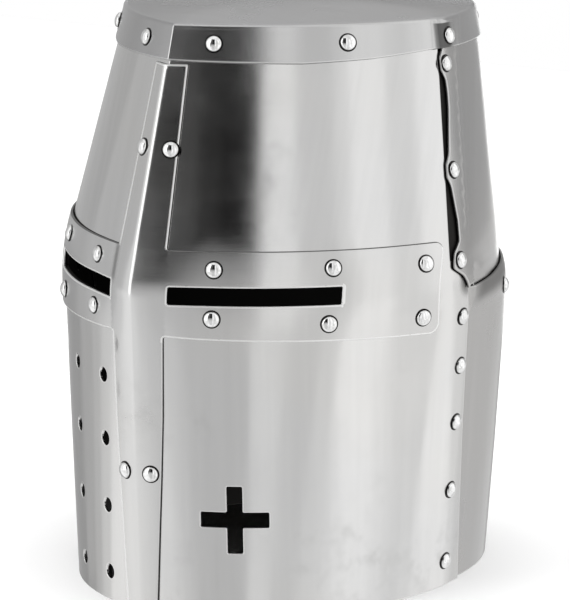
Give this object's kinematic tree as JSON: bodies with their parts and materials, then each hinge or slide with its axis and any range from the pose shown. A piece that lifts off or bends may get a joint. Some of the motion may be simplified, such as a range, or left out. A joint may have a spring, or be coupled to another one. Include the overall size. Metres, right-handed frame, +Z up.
{
  "type": "great helm",
  "caption": "Closed steel helm of riveted plates with a flat crown, a cross-shaped face reinforcement holding the eye slits, breath holes and a cut cross; head goes in from below.",
  "frame": {"origin": "middle of the bounding box on the plane of the rim", "axes": "+Z up through the crown, -Y the way the keel of the face looks, +X the wearer's left"},
  "size_m": [0.2416, 0.2576, 0.3009],
  "materials": {
    "plate_steel": "satin, finely ground and polished by hand, lightly smudged",
    "rivet_steel": "polished dome"
  },
  "bodies": {
    "root": {"front_plate": "plate_steel", "rear_upper_plate": "plate_steel", "rear_lower_plate": "plate_steel", "crown_cap": "plate_steel", "face_cross": "plate_steel", "bar_lower_rivet_1": "rivet_steel", "bar_lower_rivet_2": "rivet_steel", "bar_lower_rivet_3": "rivet_steel", "bar_lower_rivet_4": "rivet_steel", "bar_lower_rivet_5": "rivet_steel", "bar_lower_rivet_6": "rivet_steel", "bar_upper_rivet_1": "rivet_steel", "bar_upper_rivet_2": "rivet_steel", "bar_upper_rivet_3": "rivet_steel", "bar_upper_rivet_4": "rivet_steel", "bar_upper_rivet_5": "rivet_steel", "bar_upper_rivet_6": "rivet_steel", "brow_rivet_1": "rivet_steel", "brow_rivet_2": "rivet_steel", "brow_rivet_3": "rivet_steel", "brow_rivet_4": "rivet_steel", "brow_rivet_5": "rivet_steel", "brow_rivet_6": "rivet_steel", "cap_corner_rivet_1": "rivet_steel", "cap_corner_rivet_2": "rivet_steel", "cap_rear_rivet_1": "rivet_steel", "cap_rear_rivet_2": "rivet_steel", "cap_rear_rivet_3": "rivet_steel", "cap_rivet_1": "rivet_steel", "cap_rivet_2": "rivet_steel", "cap_rivet_3": "rivet_steel", "cap_rivet_4": "rivet_steel", "keel_rivet_1": "rivet_steel", "keel_rivet_2": "rivet_steel", "keel_rivet_3": "rivet_steel", "keel_rivet_4": "rivet_steel", "lower_side_rivet_1": "rivet_steel", "lower_side_rivet_10": "rivet_steel", "lower_side_rivet_2": "rivet_steel", "lower_side_rivet_3": "rivet_steel", "lower_side_rivet_4": "rivet_steel", "lower_side_rivet_5": "rivet_steel", "lower_side_rivet_6": "rivet_steel", "lower_side_rivet_7": "rivet_steel", "lower_side_rivet_8": "rivet_steel", "lower_side_rivet_9": "rivet_steel", "upper_side_rivet_1": "rivet_steel", "upper_side_rivet_2": "rivet_steel", "upper_side_rivet_3": "rivet_steel", "upper_side_rivet_4": "rivet_steel", "upper_side_rivet_5": "rivet_steel", "upper_side_rivet_6": "rivet_steel"}
  },
  "joints": []
}
